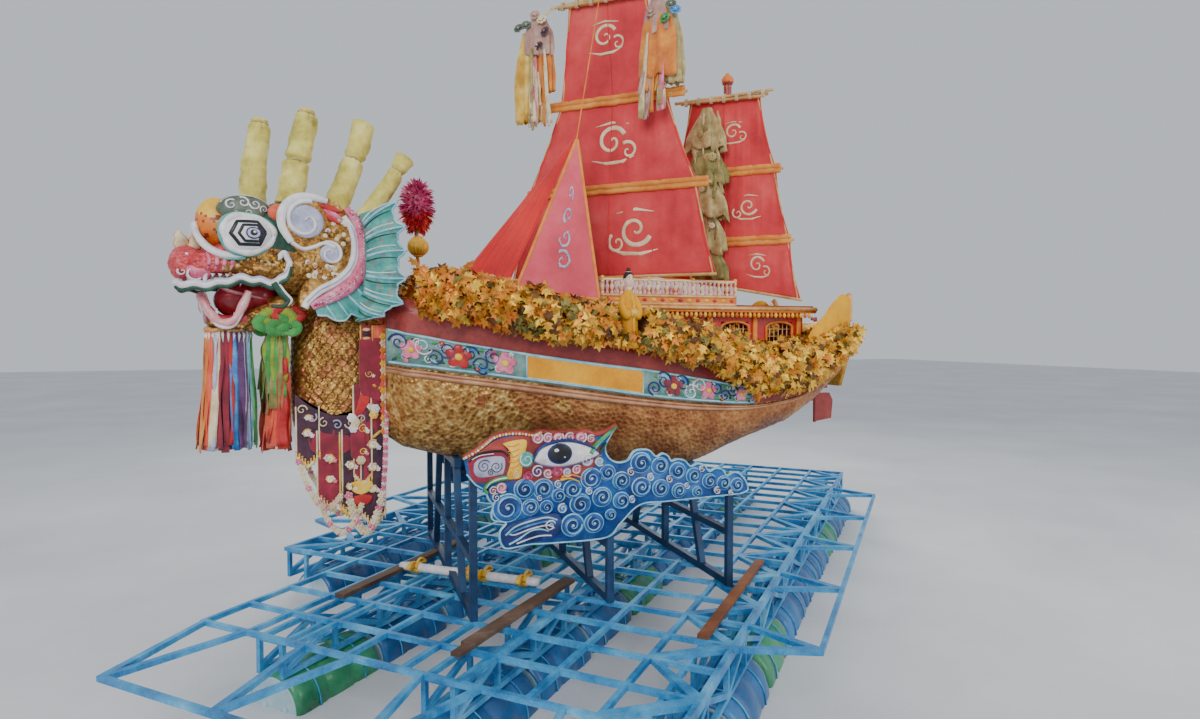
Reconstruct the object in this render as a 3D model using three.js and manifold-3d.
// A festival junk with a dragon figurehead, standing across its pontoon raft at 45 degrees.
// Millimetres, +Z up. The bow points to -X and port is -Y. The origin is under the middle of the
// raft's box, at the bottom of its drums. Inside the boat group x runs aft from the neck of the dragon
// and z runs up from the raft's deck. The raft's own frame has its origin under RAFT_PIVOT.
import * as THREE from "three";
import { mergeVertices } from "three/addons/utils/BufferGeometryUtils.js";
import Module from "manifold-3d";

const wasm = await Module();
wasm.setup();

// Driving dimensions
const GAP = 0.4; // between two pieces that rest on each other
const RAFT = { west: -2830, east: 2340, fore: -2600, aft: 6300 }; // edges of the deck lattice
const RAFT_PIVOT = 1950; // x in the boat group where the raft's own frame stands
const RAFT_TURN = -45; // degrees, the raft's lattice to the boat's line
const JOISTS = 20; // rows of cells in the deck lattice
const STRINGERS = 10; // bays of cells across it
const NOTCH = { rows: 4, bays: 2 }; // cells left out of the raft's corner under the bow
const RAILS = { // outer rails on triangular booms: where each lies, its booms, and their half spread
  east: { at: 2960, booms: [-1040, 390, 1820, 3250, 4680] },
  west: { at: -3450, booms: [240, 1670, 3100, 4530, 5960] },
  fore: { at: -3560, booms: [-1530, -420, 690, 1800] },
};
const BOOM_SPREAD = 230;
const DRUM_RADIUS = 290;
const DRUM_LENGTH = 920;
const DRUM_PITCH = 985;
const DRUMS_IN_ROW = [7, 9, 9, 9];
const ROW_OFFSETS = [-2685, -1059, 568, 2195]; // drum rows and their trusses
const TUBE = 40; // square steel tube of the raft
const TRUSS_HEIGHT = 300;
const TRUSS_WIDTH = 250;
const TRUSS_BAY = 560;
const TRUSS_FOOT = 562; // underside of a truss, where its inner edges meet the drums
const GRID_FOOT = TRUSS_FOOT + TRUSS_HEIGHT + GAP;
const DECK_TOP = GRID_FOOT + TUBE; // top of the raft, where people stand
const ROW_PITCH = (RAFT.aft - RAFT.fore - TUBE) / JOISTS;
const BAY_PITCH = (RAFT.east - RAFT.west - TUBE) / STRINGERS;
const NOTCH_Y = RAFT.fore + NOTCH.rows * ROW_PITCH;
const NOTCH_X = RAFT.west + NOTCH.bays * BAY_PITCH;
const BULWARK = 60; // thickness of the hull's bulwark
const PLANK = 30; // thickness of the deck
const BEND_STEPS = 4; // steps from the flat bottom round to the trim line
const MAST_MAIN = { x: 2680, radius: 55, foot: 1931, top: 6400 };
const MAST_MIZZEN = { x: 4110, radius: 45, foot: 1931, top: 5280 };
const SAIL_TRIM = -43.4; // degrees, the yards to the boat's line
const HOUSE = { fore: 2450, aft: 4750, half: 550, foot: 1931, top: 2600, wall: 40 };
const HEAD_TURN = 16; // degrees, the dragon looks a little to port
const HEAD_FOOT = 2700; // where the head sits on the neck

// Hull stations: x aft of the neck, heights of keel, trim line, painted band, sheer and deck,
// and half breadths of the flat bottom and of the sheer
const STATION_COLUMNS = ["x", "keel", "trim", "band", "sheer", "deck", "flat", "beam"];
const STATIONS = [
  [340, 1400, 2100, 2420, 2710, 2300, 120, 460],
  [500, 1300, 2080, 2380, 2670, 2260, 200, 620],
  [900, 1200, 2030, 2300, 2580, 2170, 300, 800],
  [1500, 1100, 1950, 2200, 2450, 2040, 380, 940],
  [2100, 1000, 1860, 2110, 2340, 1900, 420, 1000],
  [2700, 1000, 1770, 2030, 2250, 1900, 430, 1020],
  [3300, 1000, 1700, 1930, 2190, 1900, 400, 990],
  [3900, 1200, 1660, 1840, 2170, 1900, 360, 930],
  [4500, 1380, 1720, 1890, 2230, 1900, 310, 850],
  [4850, 1570, 1890, 2040, 2320, 1900, 270, 790],
  [5200, 1800, 2090, 2210, 2430, 2010, 230, 720],
].map((row) => Object.fromEntries(row.map((value, i) => [STATION_COLUMNS[i], value])));

const COLOURS = {
  raft: [0x3f8fc4, 0.45, 0.3],
  drum: [0x1f5f9e, 0.4, 0],
  cradle: [0x1c3f66, 0.5, 0.3],
  scales: [0xb9852f, 0.35, 0.7],
  band: [0x6aa7a0, 0.5, 0],
  rail: [0xc98a3a, 0.4, 0.4],
  deck: [0x8a4a2a, 0.6, 0],
  foliage: [0xd2942b, 0.4, 0.5],
  head: [0xc87a5a, 0.5, 0],
  lip: [0xe6b3ac, 0.5, 0],
  tongue: [0xa8253a, 0.5, 0],
  eye: [0xe9e9f2, 0.3, 0],
  frill: [0x3f9f95, 0.5, 0],
  scroll: [0xd9d7e0, 0.5, 0],
  bag: [0xcfc06a, 0.8, 0],
  ribbon: [0x9a4a6a, 0.8, 0],
  sail: [0xd23a40, 0.8, 0],
  spar: [0xd8813a, 0.6, 0],
  mast: [0x9a2f2a, 0.5, 0],
  house: [0xb5342c, 0.5, 0],
  robe: [0xe0b531, 0.8, 0],
  pink: [0xd2347a, 0.6, 0],
};

const radians = THREE.MathUtils.degToRad;

// A closed geometry as a manifold-3d solid
function solid(geometry) {
  const plain = geometry.index ? geometry.toNonIndexed() : geometry.clone();
  plain.deleteAttribute("normal");
  plain.deleteAttribute("uv");
  const merged = mergeVertices(plain, 1e-3);
  return new wasm.Manifold(
    new wasm.Mesh({
      numProp: 3,
      vertProperties: merged.attributes.position.array,
      triVerts: new Uint32Array(merged.index.array),
    }),
  );
}

function geometryOf(body) {
  const mesh = body.getMesh();
  const geometry = new THREE.BufferGeometry();
  geometry.setAttribute("position", new THREE.BufferAttribute(mesh.vertProperties, 3));
  geometry.setIndex(new THREE.BufferAttribute(mesh.triVerts, 1));
  geometry.computeVertexNormals();
  return geometry;
}

function node(name, colour, body) {
  const [color, roughness, metalness] = COLOURS[colour];
  const material = new THREE.MeshStandardMaterial({ color, roughness, metalness });
  const mesh = new THREE.Mesh(geometryOf(body), material);
  mesh.name = name;
  return mesh;
}

const join = (parts) => parts.reduce((sum, part) => sum.add(part));
const cut = (body, tools) => tools.reduce((rest, tool) => rest.subtract(tool), body);

// A box from its lowest to its highest corner
function box([x0, y0, z0], [x1, y1, z1]) {
  const geometry = new THREE.BoxGeometry(x1 - x0, y1 - y0, z1 - z0);
  geometry.translate((x0 + x1) / 2, (y0 + y1) / 2, (z0 + z1) / 2);
  return solid(geometry);
}

// A round or square bar between two points; a square one has four sides
function bar(from, to, radius, sides = 8) {
  const a = new THREE.Vector3(...from);
  const b = new THREE.Vector3(...to);
  const geometry = new THREE.CylinderGeometry(radius, radius, a.distanceTo(b), sides);
  const along = b.clone().sub(a).normalize();
  const turn = new THREE.Quaternion().setFromUnitVectors(new THREE.Vector3(0, 1, 0), along);
  geometry.applyQuaternion(turn);
  geometry.translate(...a.add(b).multiplyScalar(0.5).toArray());
  return solid(geometry);
}

// An upright cylinder whose flats, not its corners, are at the radius
function post(x, y, z0, z1, radius, sides = 16) {
  const outer = radius / Math.cos(Math.PI / sides);
  const geometry = new THREE.CylinderGeometry(outer, outer, z1 - z0, sides);
  geometry.rotateX(Math.PI / 2);
  geometry.translate(x, y, (z0 + z1) / 2);
  return solid(geometry);
}

function ellipsoid([x, y, z], [rx, ry, rz], sides = 12, rings = 8) {
  const geometry = new THREE.SphereGeometry(1, sides, rings);
  geometry.scale(rx, ry, rz);
  geometry.translate(x, y, z);
  return solid(geometry);
}

function outline(points) {
  return new THREE.Shape(points.map(([x, y]) => new THREE.Vector2(x, y)));
}

// An outline in plan, from height z0 to z1, less its holes
function slab(points, z0, z1, holes = []) {
  const prism = (ring, low, high) => {
    const geometry = new THREE.ExtrudeGeometry(outline(ring), { depth: high - low, bevelEnabled: false });
    return solid(geometry.translate(0, 0, low));
  };
  return cut(prism(points, z0, z1), holes.map((hole) => prism(hole, z0 - 5, z1 + 5)));
}

// The same, but drawn in x and z and thick in y from y0 to y1
function plate(points, y0, y1, holes = []) {
  return slab(points, -y1, -y0, holes).rotate([90, 0, 0]);
}

// A loft through closed rings that all have the same number of points, with flat ends
function loft(rings) {
  const count = rings[0].length;
  const positions = rings.flat(2);
  const faces = [];
  for (let ring = 0; ring + 1 < rings.length; ring++) {
    for (let i = 0; i < count; i++) {
      const a = ring * count + i;
      const b = ring * count + ((i + 1) % count);
      faces.push(a, b, b + count, a, b + count, a + count);
    }
  }
  for (const [ring, flip] of [[0, true], [rings.length - 1, false]]) {
    for (const [a, b, c] of capOf(rings[ring])) {
      const at = [a, b, c].map((i) => i + ring * count);
      faces.push(...(flip ? [at[0], at[2], at[1]] : at));
    }
  }
  const geometry = new THREE.BufferGeometry();
  geometry.setAttribute("position", new THREE.Float32BufferAttribute(positions, 3));
  geometry.setIndex(faces);
  const made = solid(geometry);
  if (made.volume() > 0) return made;
  const flipped = [];
  for (let i = 0; i < faces.length; i += 3) flipped.push(faces[i], faces[i + 2], faces[i + 1]);
  geometry.setIndex(flipped);
  return solid(geometry);
}

// Triangles of a flat ring, seen along the axis that it faces most, wound as the ring is
function capOf(ring) {
  const normal = new THREE.Vector3();
  ring.forEach(([x0, y0, z0], i) => {
    const [x1, y1, z1] = ring[(i + 1) % ring.length];
    normal.x += (y0 - y1) * (z0 + z1);
    normal.y += (z0 - z1) * (x0 + x1);
    normal.z += (x0 - x1) * (y0 + y1);
  });
  const size = normal.toArray().map(Math.abs);
  const drop = size.indexOf(Math.max(...size));
  const flat = ring.map((p) => new THREE.Vector2(...p.filter((_, axis) => axis !== drop)));
  const clockwise = THREE.ShapeUtils.isClockWise(flat);
  return THREE.ShapeUtils.triangulateShape(flat, []).map(([a, b, c]) =>
    clockwise ? [a, c, b] : [a, b, c],
  );
}

// An ellipse ring at height z, or at x when upright is false
function ellipseRing(cx, cy, cz, rx, ry, sides, upright = true) {
  return Array.from({ length: sides }, (_, i) => {
    const angle = (2 * Math.PI * (i + 0.5)) / sides;
    const u = rx * Math.cos(angle);
    const v = ry * Math.sin(angle);
    return upright ? [cx + u, cy + v, cz] : [cx, cy + u, cz + v];
  });
}

const mirror = (body) => body.mirror([0, 1, 0]);

// Raft, in its own frame: trusses and drum rows run along y, the deck's joists along x

function floatRow(index) {
  const x = ROW_OFFSETS[index];
  const last = RAFT.aft - 30 - DRUM_LENGTH / 2;
  const places = Array.from({ length: DRUMS_IN_ROW[index] }, (_, i) => last - i * DRUM_PITCH);
  const drums = places.map((y) => {
    const geometry = new THREE.CylinderGeometry(1, 1, DRUM_LENGTH, 14);
    const corner = DRUM_RADIUS / Math.cos(Math.PI / 14);
    geometry.rotateY(Math.PI / 14); // a flat of the drum faces down
    geometry.scale(corner, 1, corner);
    geometry.translate(x, y, DRUM_RADIUS);
    return solid(geometry);
  });
  // one pipe holds the row together through the drums' ends
  const pipe = bar([x, places.at(-1), DRUM_RADIUS], [x, last, DRUM_RADIUS], 30, 8);
  return node(`float_row_${index + 1}`, "drum", join([...drums, pipe]));
}

// One side of a truss from x0 to x1: two chords and a zigzag between them
function trussSide(x0, x1, start) {
  const end = RAFT.aft - TUBE;
  const foot = TRUSS_FOOT;
  const top = TRUSS_FOOT + TRUSS_HEIGHT;
  const bays = Math.round((end - start) / TRUSS_BAY);
  const bay = (end - start - TUBE) / bays;
  const web = 34;
  const holes = [];
  for (let i = 0; i < bays; i++) {
    const a = start + TUBE / 2 + i * bay + web / 2;
    const b = a + bay - web;
    const low = foot + TUBE;
    const high = top - TUBE;
    const [near, far] = i % 2 ? [b, a] : [a, b];
    const step = Math.sign(far - near) * web;
    holes.push([[near, low + web], [far - step, high], [near, high]]);
    holes.push([[near + step, low], [far, low], [far, high - web]]);
  }
  const frame = [[start, foot], [end, foot], [end, top], [start, top]];
  return plate(frame, -x1, -x0, holes).rotate([0, 0, 90]);
}

const shortRow = (x) => x < NOTCH_X;

function truss(index) {
  const x = ROW_OFFSETS[index];
  const half = TRUSS_WIDTH / 2;
  const start = (shortRow(x) ? NOTCH_Y : RAFT.fore) + TUBE;
  const parts = [trussSide(x - half - TUBE / 2, x - half + TUBE / 2, start)];
  parts.push(trussSide(x + half - TUBE / 2, x + half + TUBE / 2, start));
  const ties = 5;
  const from = start + TUBE / 2;
  const to = RAFT.aft - 1.5 * TUBE;
  for (let i = 0; i <= ties; i++) {
    const y = from + (i / ties) * (to - from);
    const z = TRUSS_FOOT + TRUSS_HEIGHT;
    parts.push(box([x - half, y - 15, z - 35], [x + half, y + 15, z - 5]));
  }
  return node(`raft_truss_${index + 1}`, "raft", join(parts));
}

// A rail outside the lattice, carried by booms of two legs that meet on it. The outline runs from the
// lattice's edge out and back, and place turns a distance out and a distance along into x and y
function boomRail({ at, booms }, edge, place) {
  const way = Math.sign(at - edge);
  const inner = at - way * TUBE;
  const first = booms[0];
  const last = booms.at(-1);
  const outline = [
    [edge, first - BOOM_SPREAD - 30], [at, first - 30], [at, last + 30], [edge, last + BOOM_SPREAD + 30],
  ];
  const holes = booms.map((y) => [
    [edge, y - BOOM_SPREAD + 15], [inner - way * 90, y], [edge, y + BOOM_SPREAD - 15],
  ]);
  booms.slice(1).forEach((y, i) => {
    const low = booms[i];
    holes.push([[edge, low + BOOM_SPREAD + 30], [inner, low + 36], [inner, y - 36], [edge, y - BOOM_SPREAD - 30]]);
  });
  return { outline: outline.map(place), holes: holes.map((hole) => hole.map(place)) };
}

// The deck lattice: joists across the trusses, with zigzag ties in the two outer bays
function deckGrid() {
  const { west, east, fore, aft } = RAFT;
  const holes = [];
  for (let row = 0; row < JOISTS; row++) {
    const y0 = fore + TUBE + row * ROW_PITCH;
    const y1 = y0 + ROW_PITCH - TUBE;
    for (let bay = 0; bay < STRINGERS; bay++) {
      const x0 = west + TUBE + bay * BAY_PITCH;
      const x1 = x0 + BAY_PITCH - TUBE;
      if (bay < NOTCH.bays && row < NOTCH.rows) continue;
      const outer = bay === 0 || bay === STRINGERS - 1;
      if (!outer) holes.push([[x0, y0], [x1, y0], [x1, y1], [x0, y1]]);
      else if (row % 2) {
        holes.push([[x0, y0], [x1 - 60, y0], [x0, y1]]);
        holes.push([[x1, y0 + 60], [x1, y1], [x0 + 60, y1]]);
      } else {
        holes.push([[x0 + 60, y0], [x1, y0], [x1, y1 - 60]]);
        holes.push([[x0, y0 + 60], [x1 - 60, y1], [x0, y1]]);
      }
    }
  }
  const across = ([out, along]) => [out, along];
  const ahead = ([out, along]) => [along, out];
  const rails = [
    boomRail(RAILS.east, east, across), boomRail(RAILS.west, west, across), boomRail(RAILS.fore, fore, ahead),
  ];
  const rim = [
    [NOTCH_X, fore], ...rails[2].outline, [east, fore], ...rails[0].outline, [east, aft], [west, aft],
    ...rails[1].outline.reverse(), [west, NOTCH_Y], [NOTCH_X, NOTCH_Y],
  ];
  const all = [...holes, ...rails.flatMap((rail) => rail.holes)];
  return node("deck_grid", "raft", slab(rim, GRID_FOOT, DECK_TOP, all));
}

function raft() {
  const group = new THREE.Group();
  group.rotation.z = radians(RAFT_TURN);
  ROW_OFFSETS.forEach((_, i) => group.add(floatRow(i), truss(i)));
  group.add(deckGrid());
  return group;
}

// Cradle: three bents that carry the hull's flat bottom, with posts for the wave boards; with each
// the height of the posts that the wave boards are fixed to
const BENTS = [["cradle_fore", 950, 1330], ["cradle_mid", 2150, 1200], ["cradle_aft", 3350, 1060]];
const BOARD_INNER = 1400; // inner face of a wave board

function bent(name, x, high) {
  const x0 = x - 30;
  const x1 = x + 30;
  const top = keelAt(x) + 30;
  const leg = (y0, y1) => plateAcross([[y0, 0], [y0 + 70, 0], [y1 + 70, top], [y1, top]], x0, x1);
  const reach = BOARD_INNER - GAP;
  const parts = [
    box([x0, -reach, GAP], [x1, reach, 70]),
    box([x0, -620, top - 80], [x1, 620, top]),
    box([x0, -reach, 480], [x1, reach, 540]),
    box([x0, -35, GAP], [x1, 35, top]),
    box([x0, -reach, GAP], [x1, -reach + 60, high]),
    box([x0, reach - 60, GAP], [x1, reach, high]),
    leg(-900, -560).subtract(box([x0 - 5, -2000, -10], [x1 + 5, 2000, GAP])),
    leg(830, 490).subtract(box([x0 - 5, -2000, -10], [x1 + 5, 2000, GAP])),
  ];
  return node(name, "cradle", join(parts).subtract(HULL.translate([0, 0, -GAP])));
}

// Height of the keel between two stations
function keelAt(x) {
  const i = STATIONS.findIndex((station) => station.x >= x);
  const [low, high] = [STATIONS[i - 1], STATIONS[i]];
  return low.keel + ((high.keel - low.keel) * (x - low.x)) / (high.x - low.x);
}

// An outline drawn in y and z, as thick as it is in x from x0 to x1
function plateAcross(points, x0, x1) {
  const geometry = new THREE.ExtrudeGeometry(outline(points), { depth: x1 - x0, bevelEnabled: false });
  geometry.rotateX(Math.PI / 2);
  geometry.rotateZ(Math.PI / 2);
  geometry.translate(x0, 0, 0);
  return solid(geometry);
}

// Wave board: a painted cut-out with a dragon's face ahead, rolling waves below and behind
const WAVE_BOARD = [
  [870, 1360], [970, 1410], [1045, 1465], [1115, 1515], [1220, 1540], [1340, 1538], [1450, 1520], [1510, 1540],
  [1635, 1525], [1725, 1530], [1825, 1515], [1920, 1525], [1985, 1495], [2080, 1510], [2200, 1565], [2140, 1480],
  [2090, 1380], [2120, 1290], [2200, 1240], [2300, 1250], [2350, 1315], [2400, 1338], [2505, 1330], [2575, 1270],
  [2640, 1292], [2695, 1265], [2725, 1220], [2785, 1232], [2860, 1215], [2920, 1160], [2990, 1180], [3060, 1160],
  [3110, 1100], [3180, 1125], [3250, 1105], [3300, 1050], [3370, 1075], [3440, 1050], [3500, 980], [3520, 900],
  [3440, 870], [2700, 860], [2420, 850], [2230, 700], [2100, 590], [1635, 590], [1415, 600], [1220, 585],
  [1170, 640], [1165, 730], [1215, 800], [1110, 830], [1095, 890], [1110, 950], [1070, 1010], [1040, 1085],
  [965, 1135], [895, 1225],
];

function waveBoard(name, side) {
  const board = plate(WAVE_BOARD, -BOARD_INNER - 18, -BOARD_INNER);
  return node(name, "band", side > 0 ? mirror(board) : board);
}

// Hull

// Half a section from the flat bottom's edge to the sheer, as [y, z]
function halfSection({ keel, trim, band, sheer, flat, beam }) {
  const belly = beam * 0.985;
  const bend = Array.from({ length: BEND_STEPS + 1 }, (_, i) => {
    const angle = (Math.PI / 2) * (i / BEND_STEPS);
    const out = Math.sin(angle) ** 0.9;
    return [flat + (belly - flat) * out, keel + (trim - keel) * (1 - Math.cos(angle))];
  });
  return [...bend, [beam * 0.99, band], [beam, sheer]];
}

function hullShell() {
  const rings = STATIONS.map((station) => {
    const side = halfSection(station);
    const inner = station.beam - BULWARK;
    const half = [...side, [inner, station.sheer], [inner * 0.97, station.deck]];
    const port = half.map(([y, z]) => [station.x, -y, z]).reverse();
    return [...half.map(([y, z]) => [station.x, y, z]), ...port];
  });
  return loft(rings);
}

const HULL = hullShell();

function mainDeck() {
  const rings = STATIONS.slice(0, -1).map((station) => {
    const half = (station.beam - BULWARK) * 0.97 - GAP;
    const foot = station.deck + GAP;
    const x = station === STATIONS[0] ? station.x : station.x;
    return [[x, half, foot], [x, half, foot + PLANK], [x, -half, foot + PLANK], [x, -half, foot]];
  });
  return node("main_deck", "deck", loft(rings));
}

// Strips that lie on the hull's side; row counts the points of halfSection from its top
const SKIN = 28;

function sideStrip(name, colour, side, rows, thickness, last) {
  const rings = STATIONS.slice(0, last).map((station) => {
    const half = halfSection(station);
    const points = rows(half, station);
    const near = points.map(([y, z]) => [station.x, y - 20, z]);
    const far = points.map(([y, z]) => [station.x, y + thickness, z]).reverse();
    return [...near, ...far].map(([x, y, z]) => [x, side * y, z]);
  });
  return node(name, colour, loft(rings).subtract(HULL.translate([0, side * GAP, 0])));
}

const between = (a, b, t) => a.map((value, i) => value + (b[i] - value) * t);

// The painted band lies between the trim line and the line above it, the rail just below it
const bandRows = (half) => [
  between(half[BEND_STEPS], half[BEND_STEPS + 1], -0.07),
  between(half[BEND_STEPS], half[BEND_STEPS + 1], 0.98),
];
const railRows = (half) => [
  between(half[BEND_STEPS], half[BEND_STEPS - 1], 0.36),
  between(half[BEND_STEPS], half[BEND_STEPS - 1], 0.1),
];

// Garland of gilded leaves that hangs over the bulwark: x, its foot, its top, and the section's
// points as offsets out from the sheer's breadth and shares of its height. The last two points lie on
// the bulwark
const GARLAND = [
  [600, 2480, 2985], [900, 2470, 2950], [1500, 2300, 2820], [2100, 2260, 2700], [2700, 2150, 2590],
  [3300, 1985, 2490], [3900, 1730, 2310], [4500, 1780, 2330], [4850, 1930, 2400], [5200, 2230, 2540],
];
const GARLAND_SECTION = [
  [-190, 0.45], [-210, 0.66], [-90, 0.95], [90, 1], [230, 0.76], [250, 0.45], [200, 0.16], [90, 0], [45, 0],
];

function garland(side) {
  const start = { ...STATIONS[1], x: 600, sheer: 2650, beam: 675 };
  const rings = [start, ...STATIONS.slice(2)].map((station, i) => {
    const [, foot, top] = GARLAND[i];
    const ledge = station.sheer + GAP;
    const points = GARLAND_SECTION.map(([out, share]) => {
      const z = foot + share * (top - foot);
      return [out, out < 0 ? Math.max(z, ledge + 20) : z];
    });
    points.push([45, ledge]);
    points.unshift([-190, ledge]);
    return points.map(([out, z]) => [station.x, side * Math.max(station.beam + out, 6), z]);
  });
  return loft(rings);
}

// Guardian figure in a robe, in a niche of the port garland
const GUARDIAN = { x: 2430, y: -1130, foot: 2230 };

function guardian() {
  const profile = [
    [0, 0], [120, 0], [130, 60], [100, 360], [82, 500], [40, 550], [58, 610], [58, 680], [0, 735],
  ];
  const points = profile.map(([x, y]) => new THREE.Vector2(x, y));
  const geometry = new THREE.LatheGeometry(points, 12);
  geometry.rotateX(Math.PI / 2);
  geometry.translate(GUARDIAN.x, GUARDIAN.y, GUARDIAN.foot);
  return solid(geometry).subtract(HULL.translate([0, -GAP, 0]));
}

// Stern board: the raised back of the hull, with a peak on each quarter
const STERN_X = 5200;

function sternBoard() {
  const points = [
    [-600, 1780], [600, 1780], [700, 2050], [735, 2500], [725, 2780], [640, 2700], [430, 2520],
    [0, 2470], [-430, 2520], [-640, 2700], [-725, 2780], [-735, 2500], [-700, 2050],
  ];
  const board = plateAcross(points, STERN_X + GAP, STERN_X + 60);
  return node("stern_board", "foliage", board);
}

// Rudder, hung behind the stern board on two gudgeons
const RUDDER_AXIS = { x: 5340, y: 0 };

function sternPost() {
  const { x } = RUDDER_AXIS;
  const parts = [box([STERN_X + 60 + GAP, -40, 1560], [STERN_X + 95, 40, 2380])];
  for (const z of [1680, 2260]) {
    const ear = box([STERN_X + 90, -32, z - 20], [x, 32, z + 20]).add(post(x, 0, z - 20, z + 20, 34));
    parts.push(ear.subtract(post(x, 0, z - 30, z + 30, 20.7, ROUND)));
  }
  return node("stern_post", "mast", join(parts));
}

function rudder() {
  const { x } = RUDDER_AXIS;
  const stock = post(x, 0, 1300, 2560, 20, ROUND);
  const blade = plate([[x, 1310], [x + 230, 1340], [x + 250, 1560], [x + 200, 1650], [x, 1655]], -18, 18);
  const upper = plate([[x, 1706], [x + 170, 1706], [x + 120, 2180], [x, 2230]], -18, 18);
  const tiller = bar([x, 0, 2530], [x - 60, 0, 2545], 20, 8);
  return node("rudder_blade", "mast", join([stock, blade, upper, tiller]));
}

// Dragon: neck, head and what hangs on them

// x, half length, half breadth at each height of the neck
const NECK_RINGS = [
  [1230, 80, 220, 150], [1330, 40, 350, 240], [1550, -10, 440, 300],
  [1950, -30, 440, 310], [2350, -30, 430, 310], [HEAD_FOOT - GAP, -50, 400, 300],
];

function neckBody() {
  const body = loft(NECK_RINGS.map(([z, x, rx, ry]) => ellipseRing(x, 0, z, rx, ry, 16)));
  return body.subtract(box([STATIONS[0].x - GAP, -500, 1000], [900, 500, 3000]));
}

// x, top, bottom and half breadth of the skull, from its back to the nose
const SKULL = [
  [300, 3230, 2800, 230], [120, 3480, 2670, 330], [-200, 3550, 2670, 390],
  [-480, 3540, 2670, 380], [-740, 3460, 2790, 350], [-930, 3250, 2850, 300],
  [-1120, 3090, 2840, 250], [-1250, 3050, 2830, 220], [-1340, 2990, 2860, 150],
];

function roundedRing(x, top, bottom, half, sides = 12) {
  const middle = (top + bottom) / 2;
  const rise = (top - bottom) / 2;
  return Array.from({ length: sides }, (_, i) => {
    const angle = (2 * Math.PI * (i + 0.5)) / sides;
    const soft = (value) => Math.sign(value) * Math.abs(value) ** 0.7;
    return [x, half * soft(Math.cos(angle)), middle + rise * soft(Math.sin(angle))];
  });
}

function dragonHead() {
  const skull = loft(SKULL.map((row) => roundedRing(...row)));
  const nose = ellipsoid([-1275, 0, 2945], [150, 185, 160]);
  const boss = ellipsoid([-1075, 0, 3300], [155, 180, 220]); // on the snout's root
  const brows = [-1, 1].map((side) => ellipsoid([-920, side * 190, 3420], [265, 125, 130]));
  const trimmed = join([skull, nose, boss, ...brows]);
  return trimmed.subtract(box([-2000, -900, 1500], [900, 900, HEAD_FOOT]));
}

const EYE = [-885, 335, 3190];

function eyeBall() {
  return ellipsoid(EYE, [185, 95, 148], 14, 8);
}

// x, top, bottom, half breadth of the lower jaw
const JAW = [
  [-475, 2720, 2520, 240], [-600, 2720, 2450, 250], [-720, 2640, 2420, 235], [-900, 2560, 2390, 210],
  [-1060, 2540, 2390, 170], [-1165, 2670, 2450, 110],
];

function lowerJaw() {
  const jaw = loft(JAW.map((row) => roundedRing(...row, 10)));
  return jaw.subtract(box([-2000, -900, HEAD_FOOT - GAP], [900, 900, 3000]));
}

// The ear's frill: a crescent of pointed fins behind the cheek, as [x, z]
const FRILL = [
  [0, 3220], [80, 3370], [240, 3480], [470, 3520], [420, 3370], [550, 3290], [450, 3180],
  [560, 3080], [440, 2960], [560, 2840], [430, 2760], [520, 2620], [310, 2510], [0, 2440],
];
const FRILL_FLARE = { port: 60, starboard: 40 }; // degrees out from the head's side

// The cheek scroll: a volute that lies against the skull
const SCROLL = [
  [-640, 3320], [-622, 3430], [-540, 3520], [-420, 3560], [-230, 3545], [-80, 3440], [0, 3260], [10, 3060],
  [-50, 2900], [-180, 2780], [-320, 2700], [-400, 2570], [-490, 2590], [-490, 2730], [-410, 2850],
  [-440, 2990], [-560, 3120],
];

// The frill stands out from the cheek scroll by a turn about its front edge
function frill(flare) {
  const [x, y] = [0, -440 - GAP];
  const flat = plate(FRILL, y - 30, y);
  return flat.translate([-x, -y, 0]).rotate([0, 0, -flare]).translate([x, y, 0]);
}

function scroll() {
  return plate(SCROLL, -440, -340);
}

// Horns in cloth bags: foot and tip as [x, y, z] and the radii there
const HORNS = [
  [[-760, 130, 3480], [-690, 150, 4260], 125, 95],
  [[-500, -110, 3500], [-350, -130, 4350], 130, 100],
  [[-60, 110, 3480], [260, 130, 4380], 125, 95],
  [[130, -130, 3400], [560, -170, 4040], 100, 75],
];

function horn([foot, tip, wide, narrow]) {
  const a = new THREE.Vector3(...foot);
  const b = new THREE.Vector3(...tip);
  const geometry = new THREE.CylinderGeometry(narrow, wide, a.distanceTo(b), 12);
  const along = b.clone().sub(a).normalize();
  geometry.applyQuaternion(new THREE.Quaternion().setFromUnitVectors(new THREE.Vector3(0, 1, 0), along));
  geometry.translate(...a.add(b).multiplyScalar(0.5).toArray());
  return solid(geometry);
}

// A neighbour moved a little every way, so that what it cuts keeps a gap to it
function grown(body, by = GAP) {
  const ways = [[1, 0, 0], [-1, 0, 0], [0, 1, 0], [0, -1, 0], [0, 0, 1], [0, 0, -1]];
  return join([body, ...ways.map((way) => body.translate(way.map((value) => value * by)))]);
}

function dragon() {
  const group = new THREE.Group();
  group.position.set(-50, 0, 0);
  group.rotation.z = radians(HEAD_TURN);
  const inner = new THREE.Group();
  inner.position.set(50, 0, 0);
  group.add(inner);
  const head = dragonHead();
  const room = grown(head);
  const fitted = (body) => body.subtract(room);
  inner.add(
    node("dragon_head", "head", head),
    node("lower_jaw", "lip", lowerJaw()),
    node("tongue", "tongue", tongue()),
    node("eye_starboard", "eye", fitted(eyeBall())),
    node("eye_port", "eye", fitted(mirror(eyeBall()))),
    node("cheek_scroll_port", "scroll", fitted(scroll())),
    node("cheek_scroll_starboard", "scroll", fitted(mirror(scroll()))),
    node("ear_frill_port", "frill", fitted(frill(FRILL_FLARE.port))),
    node("ear_frill_starboard", "frill", fitted(mirror(frill(FRILL_FLARE.starboard)))),
  );
  HORNS.forEach((row, i) => inner.add(node(`horn_${i + 1}`, "bag", fitted(horn(row)))));
  inner.add(node("beard", "ribbon", beard()), node("throat_sash", "sail", throatSash()));
  return group;
}

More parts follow.
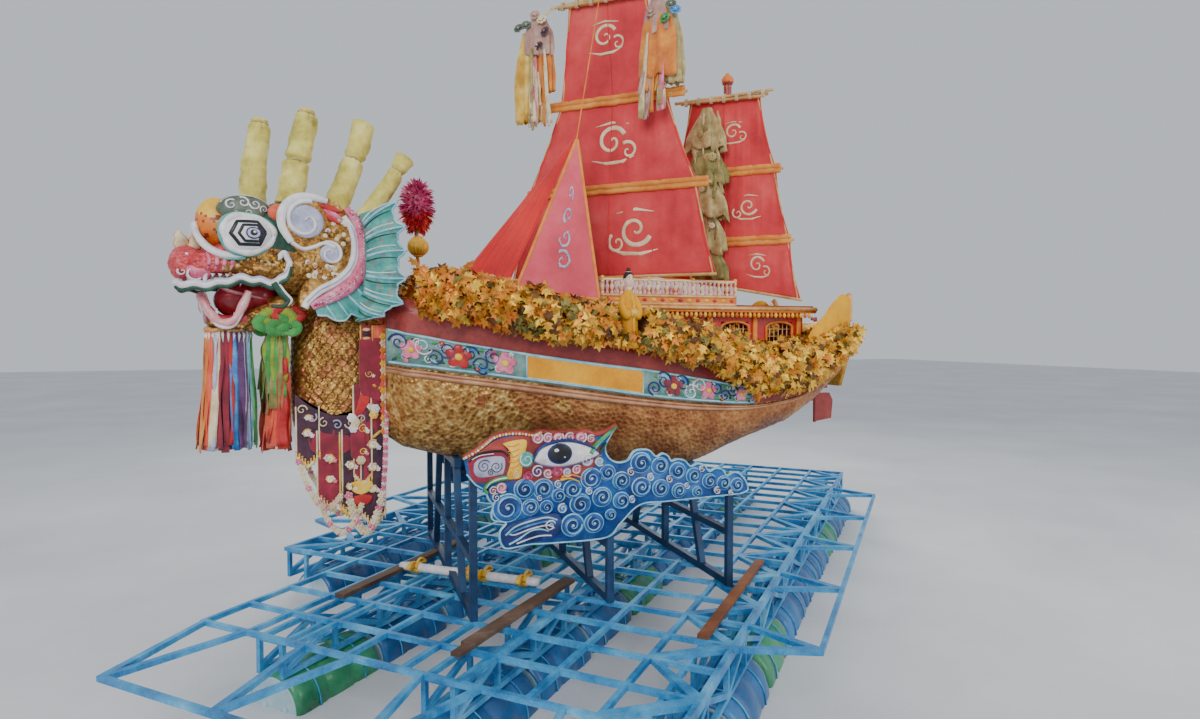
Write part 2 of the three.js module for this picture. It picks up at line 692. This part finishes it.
// The tongue stands on the lower jaw
function tongue() {
  const rings = [[-560, 2640, 60], [-800, 2690, 90], [-1000, 2730, 80], [-1080, 2785, 40]].map(
    ([x, z, half]) => [[x, -half, z - 20], [x, half, z - 20], [x, half, z + 20], [x, -half, z + 20]],
  );
  const root = box([-600, -50, 2560], [-520, 50, 2655]);
  return loft(rings).add(root).subtract(grown(lowerJaw()));
}

// Beard of ribbons under the chin, as height, x, half length and half breadth
function beard() {
  const rows = [[2500, -980, 190, 130], [2150, -985, 200, 150], [1700, -990, 210, 160], [1330, -985, 200, 150]];
  const body = loft(rows.map(([z, x, rx, ry]) => ellipseRing(x, 0, z, rx, ry, 10)));
  return body.subtract(grown(lowerJaw()));
}

function throatSash() {
  const rows = [[2500, -590, 90, 200], [2300, -610, 90, 240], [1700, -620, 110, 250], [1260, -630, 120, 230]];
  const body = loft(rows.map(([z, x, rx, ry]) => ellipseRing(x, 0, z, rx, ry, 10)));
  return body.subtract(grown(lowerJaw()));
}

// Apron of brocade round the neck's foot and down the join with the hull
function apron(name, side) {
  const points = [
    [-420, 1720], [-250, 1500], [-60, 1430], [60, 1800], [100, 2450], [332, 2450], [332, 1000],
    [270, 620], [120, 760], [-60, 620], [-250, 800], [-440, 1200],
  ];
  const cloth = plate(points, -336, -280);
  return node(name, "sail", (side > 0 ? mirror(cloth) : cloth).subtract(grown(neckBody())));
}

// Pompom of tinsel on a stick that stands on the foredeck
function pompom() {
  const stick = post(665, -90, 2257.2, 3400, 14, 8);
  return node("bow_pompom", "pink", stick.add(ellipsoid([665, -90, 3585], [180, 185, 310])));
}

// Deckhouse

function houseWalls() {
  const { fore, aft, half, foot, top, wall } = HOUSE;
  const outer = box([fore, -half, foot], [aft, half, top]);
  const inner = box([fore + wall, -half + wall, foot - 10], [aft - wall, half - wall, top + 10]);
  const windows = [0, 1, 2, 3].map((i) => {
    const x = fore + 180 + i * 550;
    return box([x, -half - 50, foot + 250], [x + 330, half + 50, top - 110]);
  });
  const doors = box([fore - 50, -180, foot + 80], [aft + 50, 180, top - 90]);
  return node("house_walls", "house", cut(outer, [inner, ...windows, doors]));
}

function houseRoof() {
  const { fore, aft, half, top } = HOUSE;
  const slab = box([fore - 110, -half - 100, top + GAP], [aft + 110, half + 100, top + 50]);
  const holes = [MAST_MAIN, MAST_MIZZEN].map(({ x, radius }) => post(x, 0, top - 20, top + 300, radius + GAP));
  return node("house_roof", "rail", cut(slab, holes));
}

function roofRail() {
  const { fore, half, top } = HOUSE;
  const foot = top + 50 + GAP;
  const coaming = foot + 95;
  const high = foot + 265;
  const x0 = fore - 100;
  const x1 = 3860;
  const out = half + 90;
  const ring = (z0, z1, inset) =>
    box([x0, -out, z0], [x1, out, z1]).subtract(box([x0 + inset, -out + inset, z0 - 5], [x1 + 50, out - inset, z1 + 5]));
  const parts = [ring(foot, coaming, 30), ring(high - 25, high, 30)];
  const posts = 15;
  for (let i = 0; i <= posts; i++) {
    const x = x0 + 15 + (i / posts) * (x1 - x0 - 30);
    for (const side of [-1, 1]) {
      const y = side * (out - 15);
      parts.push(box([x - 11, y - 11, coaming - 10], [x + 11, y + 11, high - 10]));
    }
  }
  for (let i = 1; i < 8; i++) {
    const y = -out + 15 + (i / 8) * (2 * out - 30);
    parts.push(box([x0 + 4, y - 11, coaming - 10], [x0 + 26, y + 11, high - 10]));
  }
  return node("roof_rail", "rail", join(parts));
}

// Masts and sails

function mast(name, { x, radius, foot, top }) {
  const pole = post(x, 0, foot, top - 60, radius - 0.1, ROUND);
  return node(name, "mast", pole.add(ellipsoid([x, 0, top - 70], [radius * 1.5, radius * 1.5, 70])));
}

// A sail's own frame stands on its mast, with x along the yards. Rows of a sail: height, where the
// cloth starts and ends along the yard, where the spar does, and how the spar slopes
const MAIN_SAIL = [
  [5850, -425, 425, -560, 560], [4800, -520, 650, -880, 880],
  [3880, -920, 970, -960, 1130], [2960, -1125, 1160, -1155, 1185],
];
const MIZZEN_SAIL = [
  [4990, -400, 360, -520, 470], [4170, -560, 540, -620, 640],
  [3390, -710, 700, -760, 760], [2890, -805, 815, -840, 850, -0.19],
];
const CLOTH = 8;
const SPAR = 16; // radius of a bamboo spar
const HOOP_Z = 22;
const ROUND = 24; // sides of a mast and of what turns on it

const heightAt = ([z, , , , , slope = 0], x) => z + slope * x;

function sailSpars(name, rows, { radius }) {
  const back = -(radius + 6 + CLOTH + GAP); // the spars lie in front of the cloth
  const y = back - SPAR;
  const parts = rows.map(([z, , , from, to, slope = 0]) =>
    bar([from, y, z + slope * from], [to, y, z + slope * to], SPAR, 8));
  for (const [z] of rows) {
    const hoop = box([-radius - 22, back - SPAR, z - HOOP_Z / 2], [radius + 22, radius + 22, z + HOOP_Z / 2]);
    parts.push(hoop.subtract(post(0, 0, z - 40, z + 40, radius + 0.75, ROUND)));
  }
  for (const side of [1, 2]) {
    for (let i = 0; i + 1 < rows.length; i++) {
      const inset = side === 1 ? 10 : -10;
      const ends = [rows[i], rows[i + 1]].map((row) => [row[side] + inset, y, heightAt(row, row[side])]);
      parts.push(bar(ends[0], ends[1], 9, 6));
    }
  }
  return node(name, "spar", join(parts));
}

function sailCloth(name, rows, { radius }) {
  const edge = rows.map((row) => [row[1], heightAt(row, row[1])]);
  const far = rows.map((row) => [row[2], heightAt(row, row[2])]).reverse();
  const front = -(radius + 6 + CLOTH);
  const cloth = plate([...edge, ...far], front, front + CLOTH);
  const slots = rows.map(([z]) => {
    const reach = radius + 22 + GAP;
    return box([-reach, front - 5, z - HOOP_Z / 2 - GAP], [reach, front + CLOTH + 5, z + HOOP_Z / 2 + GAP]);
  });
  return node(name, "sail", cut(cloth, slots));
}

// A hanging bundle of cloth in front of a sail: heights, half length and half depth
function bundle(name, colour, x, front, rows) {
  const rings = rows.map(([z, rx, ry]) => ellipseRing(x, front - ry, z, rx, ry, 10));
  return node(name, colour, loft(rings));
}

function mainRig() {
  const group = new THREE.Group();
  group.position.x = MAST_MAIN.x;
  group.rotation.z = radians(SAIL_TRIM);
  const front = -(MAST_MAIN.radius + 6 + CLOTH + GAP + 2 * SPAR + GAP);
  const rows = [[5700, 110, 60], [5450, 210, 110], [5000, 240, 130], [4700, 200, 110], [4520, 120, 80]];
  group.add(
    sailCloth("main_sail", MAIN_SAIL, MAST_MAIN),
    sailSpars("main_spars", MAIN_SAIL, MAST_MAIN),
    bundle("bundle_fore", "robe", -780, front, rows),
    bundle("bundle_aft", "robe", 640, front, rows),
  );
  return group;
}

function mizzenRig() {
  const group = new THREE.Group();
  group.position.x = MAST_MIZZEN.x;
  group.rotation.z = radians(SAIL_TRIM);
  const front = -(MAST_MIZZEN.radius + 6 + CLOTH + GAP + 2 * SPAR + GAP);
  const rows = [[4900, 90, 60], [4600, 170, 100], [3900, 190, 120], [3200, 180, 120], [2900, 140, 90]];
  group.add(
    sailCloth("mizzen_sail", MIZZEN_SAIL, MAST_MIZZEN),
    sailSpars("mizzen_spars", MIZZEN_SAIL, MAST_MIZZEN),
    bundle("mizzen_bundle", "foliage", -180, front, rows),
  );
  return group;
}

// Fore stay from the masthead to the deck, and the two cloths that hang from it
const STAY_TOP = [2620.6, -49.5, 6300];
const STAY_FOOT = [1690, -760, 2030];
const STAY_RADIUS = 6;

function stayAt(z) {
  const t = (STAY_TOP[2] - z) / (STAY_TOP[2] - STAY_FOOT[2]);
  return STAY_TOP.map((value, i) => value + (STAY_FOOT[i] - value) * t);
}

function foreStay() {
  const foot = stayAt(STAY_FOOT[2] + 8);
  return node("fore_stay", "spar", bar(STAY_TOP, foot, STAY_RADIUS, 6));
}

// A flat cloth through three corners, thickness to the side that the normal points to
function threeCorner(corners, offset, thickness) {
  const [a, b, c] = corners.map((p) => new THREE.Vector3(...p));
  const normal = b.clone().sub(a).cross(c.clone().sub(a)).normalize();
  const at = (distance) => [a, b, c].map((p) => p.clone().addScaledVector(normal, distance).toArray());
  return loft([at(offset), at(offset + thickness)]);
}

const JIB_OFF = 4; // from the stay to the jib's head

function foreCloths() {
  const middle = stayAt(2730); // the banner's foot crosses the stay here
  const along = [-1, 0.025, 0.08];
  const footAt = (reach) => middle.map((value, i) => value + along[i] * reach);
  const banner = [stayAt(4300), footAt(355), footAt(-475)];
  const [x, y, z] = stayAt(4350);
  const jib = [[x - JIB_OFF, y + JIB_OFF, z], [1420, -540, 2780], [980, 0, 2780]];
  return [
    node("banner", "sail", threeCorner(banner, STAY_RADIUS + GAP, CLOTH)),
    node("jib_cloth", "sail", threeCorner(jib, -CLOTH, CLOTH)),
  ];
}

function boat() {
  const group = new THREE.Group();
  group.position.set(-RAFT_PIVOT, 0, DECK_TOP);
  BENTS.forEach((row) => group.add(bent(...row)));
  group.add(waveBoard("wave_board_port", -1), waveBoard("wave_board_starboard", 1));
  group.add(node("hull_shell", "scales", HULL), mainDeck(), sternBoard(), sternPost(), rudder());
  for (const [word, side] of [["port", -1], ["starboard", 1]]) {
    group.add(
      sideStrip(`painted_band_${word}`, "band", side, bandRows, SKIN, 8),
      sideStrip(`rub_rail_${word}`, "rail", side, railRows, 45, STATIONS.length),
      apron(`apron_${word}`, side),
    );
  }
  const figure = guardian();
  group.add(
    node("garland_port", "foliage", garland(-1).subtract(grown(figure))),
    node("garland_starboard", "foliage", garland(1)),
    node("guardian", "robe", figure),
  );
  group.add(node("dragon_neck", "scales", neckBody()), dragon(), pompom());
  group.add(houseWalls(), houseRoof(), roofRail());
  group.add(mast("main_mast", MAST_MAIN), mast("mizzen_mast", MAST_MIZZEN));
  group.add(mainRig(), mizzenRig(), foreStay(), ...foreCloths());
  return group;
}

const whole = new THREE.Group();
whole.add(raft(), boat());
const bounds = new THREE.Box3().setFromObject(whole, true);
const middle = bounds.getCenter(new THREE.Vector3());
whole.position.set(-middle.x, -middle.y, -bounds.min.z);

const part = new THREE.Group();
part.add(whole);

export default part;
